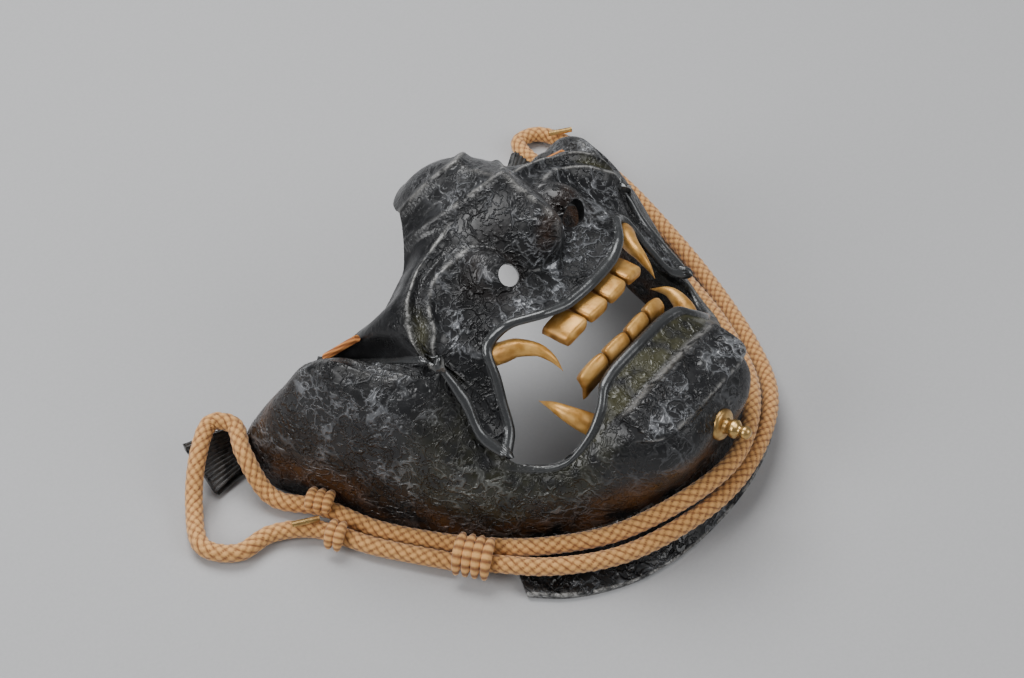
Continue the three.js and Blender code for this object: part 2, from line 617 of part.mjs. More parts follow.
// Peg on the chin
const pegProfile = PEG_PROFILE.map(({ radius, out }) => new THREE.Vector2(radius, out));
const pegEnd = pegProfile[pegProfile.length - 1].y + 0.2;
const peg = new THREE.LatheGeometry([new THREE.Vector2(0, 0), ...pegProfile, new THREE.Vector2(0, pegEnd)], 14);
peg.rotateX(Math.PI - THREE.MathUtils.degToRad(PEG.tilt));
peg.translate(0, PEG.y, PEG.z);
place('chin_peg', solid(peg).subtract(jawGrown), brass);

// Tabs behind the cheeks
function tab(side) {
  const corner = (p) => new THREE.Vector3(p[0] * side, p[1], p[2]);
  const [low, high] = TAB.inner.map(corner);
  const [lowOut, highOut] = TAB.outer.map(corner);
  const at = (s, t) => low.clone().lerp(high, t).lerp(lowOut.clone().lerp(highOut, t), s);
  const across = lowOut.clone().sub(low);
  const normal = across.cross(high.clone().sub(low)).normalize();
  if (normal.z < 0) normal.negate();
  const face = (depth) => (s, t) => at(s, t).addScaledVector(normal, depth);
  return solid(wall(divide([0, 1], 3), () => divide([0, 1], 3), face(TAB_WALL / 2), face(-TAB_WALL / 2)));
}
for (const [sideName, side] of [['near', -1], ['far', 1]]) {
  place(`ear_tab_${sideName}`, tab(side), lacquer);
}

// Round tube along a path
function tube(points, radius, steps, sides) {
  const ring = divide([0, 2 * Math.PI], sides).slice(0, -1);
  const outline = new THREE.Shape(ring.map((turn) => new THREE.Vector2(radius * Math.cos(turn), radius * Math.sin(turn))));
  const path = new THREE.CatmullRomCurve3(points, false, 'centripetal');
  return new THREE.ExtrudeGeometry(outline, { steps, extrudePath: path, bevelEnabled: false });
}

// Lace stitch over the end of each arm of the upper plate
for (const [sideName, side] of [['near', -1], ['far', 1]]) {
  const lift = LACE_RADIUS + 0.4;
  const onUpper = (across, down, extra) => upperOutside(across * side, down)
    .addScaledVector(upper.normal(across * side, down), lift + extra);
  const points = [onUpper(6, 1.5, 0.3), onUpper(6, 1.62, 0.4), onUpper(6, 1.74, 0.4), onUpper(6, 1.84, 0.4)];
  place(`lace_stitch_${sideName}`, solid(tube(points, LACE_RADIUS, 8, 8)), braid);
}

// Tie cord with its knots and pins
const route = CORD_ROUTE.map(({ at }) => new THREE.Vector3(...at));
place('tie_cord', solid(tube(route, CORD_RADIUS, CORD_STEPS, CORD_SIDES)), braid);

function wrap(knot) {
  const along = new THREE.Vector3(...knot.along).normalize();
  const up = new THREE.Vector3(0, 0, 1);
  const side = along.clone().cross(up);
  const turns = divide([knot.from, knot.to].map((degrees) => THREE.MathUtils.degToRad(degrees)), 8);
  const bodies = [-0.5, 0.5].map((shift) => {
    const points = turns.map((turn) => new THREE.Vector3(...knot.centre)
      .addScaledVector(along, shift * KNOT_TUBE * 1.7)
      .addScaledVector(up, knot.rise * Math.cos(turn))
      .addScaledVector(side, knot.reach * Math.sin(turn)));
    return solid(tube(points, KNOT_TUBE, 8, 7));
  });
  return bodies[0].add(bodies[1]);
}
for (const knot of KNOTS) place(knot.name, wrap(knot), braid);

for (const pin of PINS) {
  const body = new THREE.CylinderGeometry(PIN.radius, PIN.radius, PIN.length, 10);
  const along = new THREE.Vector3(...pin.along).normalize();
  body.applyQuaternion(new THREE.Quaternion().setFromUnitVectors(new THREE.Vector3(0, 1, 0), along));
  body.translate(...pin.centre);
  place(pin.name, solid(body), brass);
}

export default mask;
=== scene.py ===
# %% [markdown]
# A samurai face guard: a fierce half mask of lacquered plates, lying face up with its cord round the chin.
# The imported CAD model is the frame. Each plate is made again here as a fine sheet from the same sections,
# because a smooth surface with its own painted wear and painted highlights can't be had from the coarse solids.

# %% Load the frame
import math

import bmesh
import bpy
import numpy as np
from mathutils import Matrix, Vector


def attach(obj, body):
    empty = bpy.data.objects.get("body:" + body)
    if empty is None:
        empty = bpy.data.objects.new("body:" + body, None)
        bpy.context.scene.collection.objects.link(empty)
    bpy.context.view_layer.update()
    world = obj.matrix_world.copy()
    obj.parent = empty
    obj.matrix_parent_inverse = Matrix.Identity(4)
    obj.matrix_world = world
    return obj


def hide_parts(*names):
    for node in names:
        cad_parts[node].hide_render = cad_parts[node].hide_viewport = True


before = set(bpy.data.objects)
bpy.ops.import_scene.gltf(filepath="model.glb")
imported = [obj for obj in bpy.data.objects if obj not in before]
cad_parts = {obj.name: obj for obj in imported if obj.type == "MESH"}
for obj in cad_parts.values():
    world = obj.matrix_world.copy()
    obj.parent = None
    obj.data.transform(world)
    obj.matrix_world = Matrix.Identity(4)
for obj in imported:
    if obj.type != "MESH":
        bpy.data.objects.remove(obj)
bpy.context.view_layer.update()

MM = 0.001

# %% [markdown]
# The camera comes first, so that every later step can be judged from the photo's place. It stands 0.7 m off,
# 46 degrees above the floor, and looks past the near cheek to the far one. The floor is plain and pale.
# Three large soft lamps do what a light tent does: they draw broad highlights along the beads.

# %% Camera, floor and light
def make_camera():
    camera = bpy.data.objects.new("camera", bpy.data.cameras.new("camera"))
    camera.location = (-0.38496, -0.27398, 0.52507)
    camera.rotation_euler = (math.radians(90 - 46.05), 0, math.radians(-53.33))
    camera.data.lens = 73.05
    camera.data.sensor_width = 36
    bpy.context.scene.collection.objects.link(camera)
    bpy.context.scene.camera = camera


def make_lamp(name, place, target, size, power):
    lamp = bpy.data.objects.new(name, bpy.data.lights.new(name, "AREA"))
    lamp.data.shape = "DISK"
    lamp.data.size = size
    lamp.data.energy = power
    away = np.array(place, float) - np.array(target, float)
    lamp.location = place
    pitch = math.atan2(math.hypot(away[0], away[1]), away[2])
    lamp.rotation_euler = (pitch, 0, math.atan2(away[0], -away[1]))
    bpy.context.scene.collection.objects.link(lamp)


def make_floor():
    mesh = bpy.data.meshes.new("floor")
    half = 3.0
    corners = [(-half, -half, -0.0003), (half, -half, -0.0003), (half, half, -0.0003), (-half, half, -0.0003)]
    mesh.from_pydata(corners, [], [(0, 1, 2, 3)])
    floor = bpy.data.objects.new("floor", mesh)
    bpy.context.scene.collection.objects.link(floor)
    return floor


make_camera()
floor = make_floor()
make_lamp("lamp_high", (0.25, 0.55, 1.1), (0, 0, 0.04), 0.9, 16)
make_lamp("lamp_left", (-1.0, 0.35, 0.75), (0, 0, 0.04), 0.7, 9)
make_lamp("lamp_front", (0.3, -1.0, 0.8), (0, 0, 0.04), 0.8, 6)
world = bpy.data.worlds.new("studio")
world.use_nodes = True
world.node_tree.nodes["Background"].inputs["Color"].default_value = (0.82, 0.86, 0.92, 1)
world.node_tree.nodes["Background"].inputs["Strength"].default_value = 0.22
bpy.context.scene.world = world

# %% [markdown]
# All plates come from tables of sections, in millimetres, from the middle of the face out to one side.
# A section holds a few named points, and a smooth curve that never overshoots joins them both ways.
# Tables are used, not sculpting, because they give the CAD solids and the fine sheets one shape.

# %% Tables of sections
# lip, crest, edge, bead
UPPER = [
    ((0, -20, 71), (0, 26, 76), (0, 57, 71), 0),
    ((11, -19.2, 70.8), (11, 26, 78), (11, 52, 71), 0),
    ((20, -16.4, 71.5), (20, 25.5, 79.5), (20, 41, 68.5), 0),
    ((28.7, -9.6, 70), (30, 25.3, 76.5), (31, 33, 68), 0),
    ((33, -6.6, 66), (38, 23, 74.5), (41, 31.5, 63.5), 0),
    ((34.6, -6.2, 64.4), (44, 20, 73.5), (49, 37, 55.5), 0),
    ((35.6, -6.6, 63), (48.4, 15.8, 71.4), (57, 48.5, 41), 0.7),
    ((36.4, -7.6, 61.6), (50.6, 12.5, 68.8), (53, 28, 51), 1),
    ((37, -9, 59.8), (51, 9.8, 66.3), (52, 14.5, 58.5), 1),
    ((37.8, -11.2, 57), (48.6, 3.5, 61), (51, 5, 62.8), 1),
    ((39.8, -15, 50.6), (47, -6, 53.5), (50.6, -4, 52.8), 1),
    ((43, -20.5, 42.3), (48, -15, 45), (52.5, -14, 41.5), 1),
    ((49, -23.6, 37.6), (50.3, -23.2, 37.8), (51.4, -22.2, 38.2), 1),
]
# top, brow, belly, rim, bead
JAW = [
    ((0, -35, 56), (0, -63, 50), (0, -69, 39.5), (0, -67.5, 25), 1),
    ((11, -34.8, 55.5), (11, -63, 49.8), (12, -69.5, 39), (11, -65.5, 21.5), 1),
    ((20, -36, 54.7), (20.5, -61.5, 48.5), (22, -66, 38), (20, -60.5, 16.5), 1),
    ((25, -38.5, 51), (27.5, -54, 46.5), (31, -56, 33), (30, -54, 11.5), 1),
    ((31, -39.8, 45.5), (36, -46.5, 38), (40, -46, 26), (40, -44.5, 7), 1),
    ((37.5, -38.5, 38.5), (45, -39.5, 31), (48.5, -36.5, 19.5), (49, -34, 4), 1),
    ((44, -31, 34.8), (52.5, -28, 28.5), (57, -24.5, 16), (57, -22, 1.5), 0.8),
    ((50, -20.5, 36.5), (58.5, -15.5, 30), (62.5, -11.5, 15.5), (62.8, -9.5, 0), 0),
    ((49.5, -6, 48), (63, -1, 40), (67, 2, 19), (67, 4, 0), 0),
    ((49.3, 4, 59.5), (64.5, 9, 49), (71.5, 15, 22), (71.2, 17, 0), 0),
    ((50.3, 14, 56.5), (66, 19, 54.5), (75, 28, 25), (75, 30, 0), 0),
    ((51.3, 28, 49), (67, 31, 57), (78, 41, 24), (78, 43, 0), 0),
    ((55, 47, 39.5), (67.5, 46, 46), (79, 54, 19), (80, 54, 0), 0),
    ((60, 58, 27), (67.5, 58, 29), (77.5, 63, 13), (79, 63, 0), 0),
    ((66, 67, 12.5), (69, 67.5, 12), (74, 68.5, 6), (76, 69, 0), 0),
]
# y, top, half width, roundness
NOSE = [
    (-8, 58, 8, 1.5),
    (-4.5, 76, 10, 1.5),
    (-1.5, 86.5, 12.5, 1.5),
    (2.5, 92, 14.5, 1.4),
    (9, 95, 17, 1.35),
    (17.5, 97, 20, 1.35),
    (26, 94.5, 24, 1.5),
    (35, 92, 26.5, 1.7),
    (44, 87.2, 27, 1.8),
    (51, 80.5, 25, 1.9),
    (57.5, 69, 22, 2),
]
# root, hem
THROAT = [
    ((0, -66.5, 25), (0, -75, 0.5)),
    ((11, -64.5, 21.5), (12, -74.5, 0.6)),
    ((20, -59.8, 17), (25, -72.5, 0.9)),
    ((30, -53.2, 12.3), (38, -68.5, 1.2)),
    ((40, -43.8, 8.5), (50, -61.5, 1.6)),
    ((47.5, -32.2, 6.2), (60, -52.5, 2)),
    ((53.2, -23.4, 5), (66.5, -43, 2.2)),
]
# first section, last section, down at the first, down at the last, width, height
CHEEK_FOLDS = [
    (9.2, 13.0, 0.16, 0.30, 0.09, 1.6),
    (9.2, 12.8, 0.30, 0.75, 0.13, 2.2),
    (9.2, 12.4, 0.42, 1.20, 0.15, 2.4),
]
# where it crosses the middle, sweep back, at which x, height, width
NOSE_WRINKLES = [(17.5, 18, 22, 2.2, 3.0), (35.0, 9, 16, 2.2, 3.0)]
# Wall of each plate, size of the bead, and place and size of a nostril
WALLS = {"upper": 2.4, "jaw": 2.6, "throat": 1.9, "tab": 2.4}
BEAD_WIDTH, BEAD_HEIGHT = 3.6, 1.5
NOSTRIL = {"x": 16, "y": 2.5, "z": 75, "radius": 3.6, "length": 32}
print("sections:", len(UPPER), "upper,", len(JAW), "jaw,", len(NOSE), "nose,", len(THROAT), "throat")

# %% [markdown]
# The curve through a table is a cubic between each two rows. Its slope at a row is the harmonic mean of the
# slopes to both sides, and nothing where they point opposite ways, so the curve stays between its rows.

# %% Curves, sheets and small helpers
def curve(values, t, knots=None):
    """Smooth curve through values (a row for each knot) at the parameters t, which never overshoots."""
    values = np.asarray(values, float)
    knots = np.arange(len(values), dtype=float) if knots is None else np.asarray(knots, float)
    t = np.clip(np.asarray(t, float), knots[0], knots[-1])
    wide = (slice(None),) + (None,) * (values.ndim - 1)
    grade = np.diff(values, axis=0) / np.diff(knots)[wide]
    product = grade[:-1] * grade[1:]
    total = grade[:-1] + grade[1:]
    middle = np.where(product > 0, 2 * product / np.where(total == 0, 1, total), 0)
    slope = np.concatenate([grade[:1], middle, grade[-1:]])
    k = np.clip(np.searchsorted(knots, t, side="right") - 1, 0, len(knots) - 2)
    width = (knots[k + 1] - knots[k])[wide]
    s = ((t - knots[k]) / (knots[k + 1] - knots[k]))[wide]
    near = values[k] * (1 + 2 * s) + slope[k] * width * s
    far = values[k + 1] * (3 - 2 * s) - slope[k + 1] * width * (1 - s)
    return near * (1 - s) ** 2 + far * s ** 2


def ease(start, end, x):
    s = np.clip((x - start) / (end - start), 0, 1)
    return s * s * (3 - 2 * s)


def bump(distance, width):
    return np.exp(-((distance / width) ** 2))


def blend_max(a, b, soft):
    return 0.5 * (a + b + np.sqrt((a - b) ** 2 + soft ** 2))


def spread(steps):
    """Parameters from 0 on, with a number of equal steps in each unit."""
    parts = [k + np.arange(n) / n for k, n in enumerate(steps)]
    return np.concatenate(parts + [[float(len(steps))]])


def both_sides(steps):
    half = spread(steps)
    return np.concatenate([-half[:0:-1], half])


def grid_places(across, down):
    """For each grid point, its sections away from the middle and its columns down from the first."""
    away = np.abs(across)[:, None] + 0 * down
    return away, 0 * away + down


def sheet(table, columns, across, down):
    """Grid of points: the table mirrored about X = 0, curved across its rows and then down its columns."""
    half = np.array([row[:columns] for row in table], float)
    full = np.concatenate([half[:0:-1] * (-1, 1, 1), half])
    lines = curve(full, across + len(half) - 1)
    return np.swapaxes(curve(np.swapaxes(lines, 0, 1), down), 0, 1)


def normals(points, facing):
    n = np.cross(np.gradient(points, axis=0), np.gradient(points, axis=1)) * facing
    return n / np.maximum(np.linalg.norm(n, axis=2, keepdims=True), 1e-9)


def lengths(points):
    """Distance in mm of each grid point from the first and from the last line, measured along the sheet."""
    step = np.linalg.norm(np.diff(points, axis=1), axis=2)
    run = np.concatenate([np.zeros((len(points), 1)), np.cumsum(step, axis=1)], axis=1)
    return run, run[:, -1:] - run


def bead(distance):
    s = 2 * distance / BEAD_WIDTH - 1
    return BEAD_HEIGHT * np.sqrt(np.maximum(0, 1 - s * s))


def add_grid(name, points, facing=1, paint=None):
    """Mesh object from a grid of points in mm, with a value at each point for each named paint."""
    rows, cols = points.shape[:2]
    i, j = np.meshgrid(np.arange(rows - 1), np.arange(cols - 1), indexing="ij")
    here = i * cols + j
    quads = np.stack([here, here + cols, here + cols + 1, here + 1], axis=-1).reshape(-1, 4)
    if facing < 0:
        quads = quads[:, ::-1]
    mesh = bpy.data.meshes.new(name)
    mesh.from_pydata(points.reshape(-1, 3) * MM, [], quads)
    for label, values in (paint or {}).items():
        layer = mesh.attributes.new(label, "FLOAT", "POINT")
        layer.data.foreach_set("value", np.ascontiguousarray(values, np.float32).reshape(-1))
    mesh.polygons.foreach_set("use_smooth", np.ones(len(mesh.polygons), bool))
    obj = bpy.data.objects.new(name, mesh)
    bpy.context.scene.collection.objects.link(obj)
    return obj


def thicken(obj, wall):
    modifier = obj.modifiers.new("wall", "SOLIDIFY")
    modifier.thickness = wall * MM
    modifier.offset = -1


def seat(obj, slot, *nodes):
    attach(obj, "root")
    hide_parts(*nodes)
    print(obj.name, len(obj.data.polygons), "faces for", ", ".join(nodes))

# %% [markdown]
# The upper plate is pressed over a form: two folds run from the nose to the cheeks, a bead follows the mouth,
# and the nose stands up out of it. The nose and its wings are heights over the face, and the plate takes the
# larger of its own height and theirs with a rounded corner. That keeps one unbroken sheet.

# %% Upper plate
def nose_height(x, y):
    """Height of the nose: its back along y, falling to the sides by a power of x, plus the snarl wrinkles."""
    table = np.array(NOSE)
    top, half, power = (curve(table[:, c], y.ravel(), table[:, 0]).reshape(y.shape) for c in (1, 2, 3))
    for middle, sweep, reach, height, width in NOSE_WRINKLES:
        top = top + height * bump(y - wrinkle_line(x, middle, sweep, reach), width * 0.8)
    return top - 22 * (np.abs(x) / half) ** power


def wrinkle_line(x, middle, sweep, reach):
    return middle + sweep * (np.abs(x) / reach) ** 1.3


def wing_height(x, y):
    inside = 1 - ((np.abs(x) - 19) / 9.5) ** 2 - ((y - 9) / 11) ** 2
    return 70 + 12.5 * np.sign(inside) * np.sqrt(np.abs(inside))


def lift_nose(points):
    x, y, flat = (points[..., k] for k in range(3))
    z = blend_max(flat, nose_height(x, y), 3)
    z = blend_max(z, wing_height(x, y), 1.5)
    lean = 5 * ease(0, 18, z - flat) * (1 - ease(4, 26, y))
    return np.stack([x, y - lean, z], axis=-1), z - flat


across = both_sides([20, 18, 16, 14, 8, 8, 8, 8, 8, 10, 10, 10])
down = np.unique(np.concatenate([np.linspace(0, 0.16, 18), np.linspace(0.16, 1, 52), np.linspace(1, 2, 46)]))
base = sheet(UPPER, 3, across, down)
away, deep = grid_places(across, down)
from_lip, from_edge = lengths(base)
edge_bead = np.interp(away, np.arange(len(UPPER)), [row[3] for row in UPPER])
fade = ease(1.2, 2.2, away) * (1 - ease(8.5, 10, away))
folds = fade * (1.2 * bump(deep - 1, 0.09) + 1.6 * bump(deep - 0.72, 0.08) - 0.8 * bump(deep - 0.87, 0.06))
relief = bead(from_lip) + bead(from_edge) * edge_bead + folds
upper, raised = lift_nose(base + normals(base, 1) * relief[..., None])
x, y = upper[..., 0], upper[..., 1]


def bore_nostrils(plate):
    """Cuts two round bores, leaning in and back, out of the thickened plate."""
    cut = bmesh.new()
    radius = NOSTRIL["radius"] * MM
    for side in (-1, 1):
        turn = Vector((-0.45 * side, 0.5, -0.74)).to_track_quat("Z", "Y").to_matrix().to_4x4()
        where = Matrix.Translation(Vector((NOSTRIL["x"] * side, NOSTRIL["y"], NOSTRIL["z"])) * MM) @ turn
        bmesh.ops.create_cone(cut, cap_ends=True, segments=48, radius1=radius, radius2=radius,
                              depth=NOSTRIL["length"] * MM, matrix=where)
    cutter = bpy.data.objects.new("cutter", bpy.data.meshes.new("cutter"))
    cut.to_mesh(cutter.data)
    cut.free()
    bpy.context.scene.collection.objects.link(cutter)
    plate.modifiers.new("nostrils", "BOOLEAN").object = cutter
    bored = bpy.data.meshes.new_from_object(plate.evaluated_get(bpy.context.evaluated_depsgraph_get()))
    plate.modifiers.clear()
    plate.data = bored
    bpy.data.objects.remove(cutter)
    plate.data.set_sharp_from_angle(angle=math.radians(55))


wrinkles = sum(bump(y - wrinkle_line(x, m, s, reach), 0.8) for m, s, reach, h, w in NOSE_WRINKLES)
on_nose = ease(4, 14, raised)
rim = np.clip(ease(4.2, 3.2, from_lip) + ease(4.2, 3.2, from_edge) * edge_bead, 0, 1)
creases = fade * (bump(deep - 1, 0.018) + bump(deep - 0.72, 0.014))
snarl = on_nose * ease(30, 22, np.abs(x)) * wrinkles
nose_back = bump(x, 1.0) * ease(-8, -2, y) * ease(40, 12, y) * on_nose
nose_tip = bump(x, 12) * ease(1, -3, y) * on_nose
wings = bump(np.abs(x) - 19, 7) * bump(y - 6, 7)
lip_area = 0.65 * ease(0.62, 0.4, deep) - 0.3 * ease(1.0, 1.2, deep)
tongues = 0.5 * ease(8, 9.5, away)
paint = {
    "bead": rim,
    # Pale rub on the fold creases, the snarl wrinkles and the back of the nose: partly wear, partly a painted
    # highlight along these ridges.
    "wear_and_highlight": np.clip(0.75 * creases + 0.55 * snarl + 0.6 * nose_back, 0, 1),
    "olive": np.clip(fade * ease(4.5, 5.5, away) * bump(deep - 0.87, 0.09) * 0.9, 0, 1),
    "rust": np.clip(0.22 * wings + 0.4 * nose_tip, 0, 1),
    "veins": np.clip(0.35 + lip_area + tongues + 0.2 * on_nose, 0, 1) * (1 - rim),
}
upper_face = add_grid("upper_plate", upper, 1, paint=paint)
thicken(upper_face, WALLS["upper"])
bore_nostrils(upper_face)
seat(upper_face, "lacquer", "upper_face")

# %% [markdown]
# The lower shell wraps the chin and the cheeks. Its lip carries the same bead, a boss stands on the chin
# with a few pits in it, and three folds fan out over each cheek pad.

# %% Jaw shell
across = both_sides([18, 18, 16, 14, 12, 12, 12, 12, 12, 12, 12, 12, 10, 8])
stretches = [np.linspace(0, 0.2, 22), np.linspace(0.2, 1.3, 52), np.linspace(1.3, 3, 32)]
down = np.unique(np.concatenate(stretches))
base = sheet(JAW, 4, across, down)
away, deep = grid_places(across, down)
from_top = lengths(base)[0]
carries = np.interp(away, np.arange(len(JAW)), [row[4] for row in JAW])
boss = ease(0.38, 0.5, deep) * (1 - ease(1.02, 1.2, deep)) * (1 - ease(2.4, 3.1, away))
relief = bead(from_top) * carries + 2.5 * boss
pads = np.zeros(away.shape)
for start, end, down_start, down_end, width, height in CHEEK_FOLDS:
    s = np.clip((away - start) / (end - start), 0, 1)
    ends = ease(0, 0.15, s) * (1 - ease(0.75, 1, s))
    fold = ends * bump(deep - (down_start + (down_end - down_start) * s), width * (0.6 + s))
    relief += height * fold
    pads = np.maximum(pads, fold)
for pit_across, pit_down in [(0.4, 0.62), (1.2, 0.70), (0.9, 0.84), (-0.4, 0.86), (1.7, 0.60)]:
    relief -= 0.9 * bump((across[:, None] - pit_across) * 10.5, 1.1) * bump((deep - pit_down) * 28, 1.1)
jaw = base + normals(base, -1) * relief[..., None]
jaw[..., 2] = np.maximum(jaw[..., 2], 0)

# The border beside the upper plate runs on under it: the first lines lead back along the sheet's own slope.
tuck = np.linspace(1, 0, 7)[:6] * 5.0
inward = base[:, 0] - base[:, 3]
inward /= np.linalg.norm(inward, axis=1, keepdims=True)
under = ease(6.6, 7.6, np.abs(across))[:, None, None] * tuck[None, :, None]
sink = normals(base, -1)[:, :1] * 0.18
jaw = np.concatenate([jaw[:, :1] + (inward[:, None] - sink) * under, jaw], axis=1)
first = [(0, 0), (len(tuck), 0)]
fields = (away, deep, carries, pads, boss, from_top)
away, deep, carries, pads, boss, from_top = (np.pad(field, first, mode="edge") for field in fields)
rim = ease(4.2, 3.2, from_top) * carries
paint = {
    "bead": rim,
    # Pale rub along the edges of the chin boss and on the cheek folds: partly wear, partly a painted highlight.
    "wear_and_highlight": np.clip(0.7 * bump(deep - 1.04, 0.03) * ease(3.1, 2.5, away) + 0.12 * pads
                    + 0.5 * bump(deep - 0.43, 0.03) * ease(3.0, 2.0, away), 0, 1),
    "olive": np.clip(ease(0.42, 0.34, deep) * ease(5.5, 4.5, away) * (1 - rim)
                     + 0.45 * ease(3, 4, away) * ease(9, 7.5, away) * ease(2.4, 1.6, deep), 0, 1),
    "rust": np.clip(0.8 * ease(1.9, 2.6, deep) + 0.7 * ease(11.6, 13, away) * ease(0.6, 1.6, deep), 0, 1),
    "veins": np.clip(0.25 + 0.75 * boss + 0.45 * pads + 0.35 * ease(3, 5, away) * ease(0.2, 0.5, deep), 0, 1)
             * (1 - rim),
}
jaw_shell = add_grid("jaw_plate", jaw, -1, paint=paint)
thicken(jaw_shell, WALLS["jaw"])
seat(jaw_shell, "lacquer", "jaw_shell")

# %% [markdown]
# The throat plate hangs from the jaw, with its hem just above the floor. It is a plain curved strip,
# hollowed a little between root and hem. The tabs behind the cheeks are flat, with fine ribs along them.

# %% Throat plate and ear tabs
across = both_sides([24, 24, 22, 20, 18, 16])
down = np.linspace(0, 1, 44)
base = sheet(THROAT, 2, across, down)
hollow = 0.08 * base[:, :1, 2] * np.sin(np.pi * down)
plate = base - normals(base, -1) * hollow[..., None]
away, deep = grid_places(across, down)
paint = {
    "bead": 0 * deep, "olive": 0.15 * ease(0.5, 0, deep), "rust": 0.35 * ease(0.35, 0, deep),
    # Pale band along the hem: a painted highlight on the hem's edge, partly also wear.
    "wear_and_highlight": ease(0.955, 0.985, deep) * 0.8, "veins": 0.85 + 0 * deep,
}
throat_plate = add_grid("throat_guard", plate, -1, paint=paint)
thicken(throat_plate, WALLS["throat"])
seat(throat_plate, "lacquer", "throat_plate")


def ear_tab(name, side, node):
    """Flat plate between a low and a high edge, with ribs of one sine along it."""
    low = np.array([(80.3, 62.5, 3.0), (94, 62.5, 3.0)])
    high = np.array([(74.5, 70.5, 12.3), (91, 78.6, 12.3)])
    s, t = np.meshgrid(np.linspace(0, 1, 24), np.linspace(0, 1, 130), indexing="ij")
    s, t = s[..., None], t[..., None]
    flat = (low[0] * (1 - s) + low[1] * s) * (1 - t) + (high[0] * (1 - s) + high[1] * s) * t
    flat = flat + np.array((0, 0, 0.3)) * np.sin(2 * np.pi * 11 * t) * ease(0, 0.03, t) * ease(1, 0.97, t)
    flat = flat * (side, 1, 1)
    zero = 0 * s[..., 0]
    paint = {"bead": zero, "olive": zero, "rust": zero, "wear_and_highlight": zero + 0.12, "veins": zero + 0.08}
    tab = add_grid(name, flat, side, paint=paint)
    thicken(tab, WALLS["tab"])
    seat(tab, "lacquer", node)
    return tab


tabs = [ear_tab("tab_near", -1, "ear_tab_near"), ear_tab("tab_far", 1, "ear_tab_far")]

# %% [markdown]
# Teeth are carved blocks: flat in front, rounded at the sides and at the biting edge, four to a row on a
# bowed arch. Each fang is a horn: a circle carried along a bent line while it shrinks to a point.

# %% Teeth and fangs
def arched(points):
    x = points[..., 0]
    return points + np.stack([0 * x, 0.0038 * x ** 2, -1.8e-5 * x ** 4], axis=-1)


def tooth_row(pitch, face, out):
    """Rounded-box rings from root to edge; the last rings shrink to close the biting edge."""
    turn = np.linspace(0, 2 * np.pi, 40, endpoint=False)
    t = np.concatenate([np.linspace(0, 2.75, 26), np.linspace(2.8, 3, 8)])
    line = curve(np.array(face), t)
    shrink = np.sqrt(np.clip(1 - np.clip((t - 2.3) / 0.7, 0, 1) ** 3, 0.0004, 1))
    wide = (pitch - 0.7) / 2 * (0.93 + 0.07 * np.sin(np.pi * np.clip(t / 2.6, 0, 1)))
    cx = np.sign(np.cos(turn)) * np.abs(np.cos(turn)) ** 0.38
    cy = np.sign(np.sin(turn)) * np.abs(np.sin(turn)) ** 0.5
    grids = []
    for k in range(4):
        centre = (k - 1.5) * pitch
        depth = 1.7 * (cy[None] * (0.35 + 0.65 * shrink[:, None]) - 1)
        px = centre + cx[None] * (wide * (0.45 + 0.55 * shrink))[:, None]
        py = line[:, :1] + out[0] * depth
        pz = line[:, 1:] + out[1] * depth
        grids.append(arched(np.stack([px, py, pz], axis=-1)))
    points = np.stack(grids)
    # Painted shade: darker toward the root and at the sides of each tooth, where the teeth meet.
    painted_shading = np.clip(1 - t / 1.6, 0, 1)[None, :, None] + 0.7 * np.abs(cx)[None, None] ** 6 + 0 * points[..., 0]
    return points, np.clip(painted_shading, 0, 1)


def join_rings(name, bodies, painted_shadings):
    """One mesh from closed bodies of rings, each capped at both ends by one face."""
    verts, faces, values, start = [], [], [], 0
    for rings, painted_shading in zip(bodies, painted_shadings):
        rows, cols = rings.shape[:2]
        i, j = np.meshgrid(np.arange(rows - 1), np.arange(cols), indexing="ij")
        nxt = (j + 1) % cols
        quads = np.stack([i * cols + j, i * cols + nxt, (i + 1) * cols + nxt, (i + 1) * cols + j], axis=-1)
        faces += (quads.reshape(-1, 4) + start).tolist()
        faces.append([start + k for k in range(cols)][::-1])
        faces.append([start + (rows - 1) * cols + k for k in range(cols)])
        verts.append(rings.reshape(-1, 3) * MM)
        values.append(np.broadcast_to(painted_shading, rings.shape[:2]).reshape(-1))
        start += rows * cols
    mesh = bpy.data.meshes.new(name)
    mesh.from_pydata(np.concatenate(verts), [], faces)
    # Each point keeps a painted-shading value for the material.
    layer = mesh.attributes.new("painted_shading", "FLOAT", "POINT")
    layer.data.foreach_set("value", np.concatenate(values).astype(np.float32))
    mesh.polygons.foreach_set("use_smooth", np.ones(len(mesh.polygons), bool))
    mesh.update()
    obj = bpy.data.objects.new(name, mesh)
    bpy.context.scene.collection.objects.link(obj)
    return obj


def frames(path):
    """Two directions square to a path of points, carried along it without twisting."""
    tangent = np.gradient(path, axis=0)
    tangent /= np.linalg.norm(tangent, axis=1, keepdims=True)
    side = np.cross(tangent[0], (0, 0, 1))
    side = side / np.linalg.norm(side) if np.linalg.norm(side) > 1e-6 else np.array((1.0, 0, 0))
    sides = [side]
    for direction in tangent[1:]:
        side = sides[-1] - direction * (sides[-1] @ direction)
        sides.append(side / np.linalg.norm(side))
    sides = np.array(sides)
    return sides, np.cross(tangent, sides)


def rings_along(path, radii, count):
    side, up = frames(path)
    turn = np.linspace(0, 2 * np.pi, count, endpoint=False)
    spin = np.cos(turn)[None, :, None] * side[:, None] + np.sin(turn)[None, :, None] * up[:, None]
    radii = np.asarray(radii, float)
    radii = radii[:, None] if radii.ndim == 1 else radii
    return path[:, None] + spin * radii[..., None]


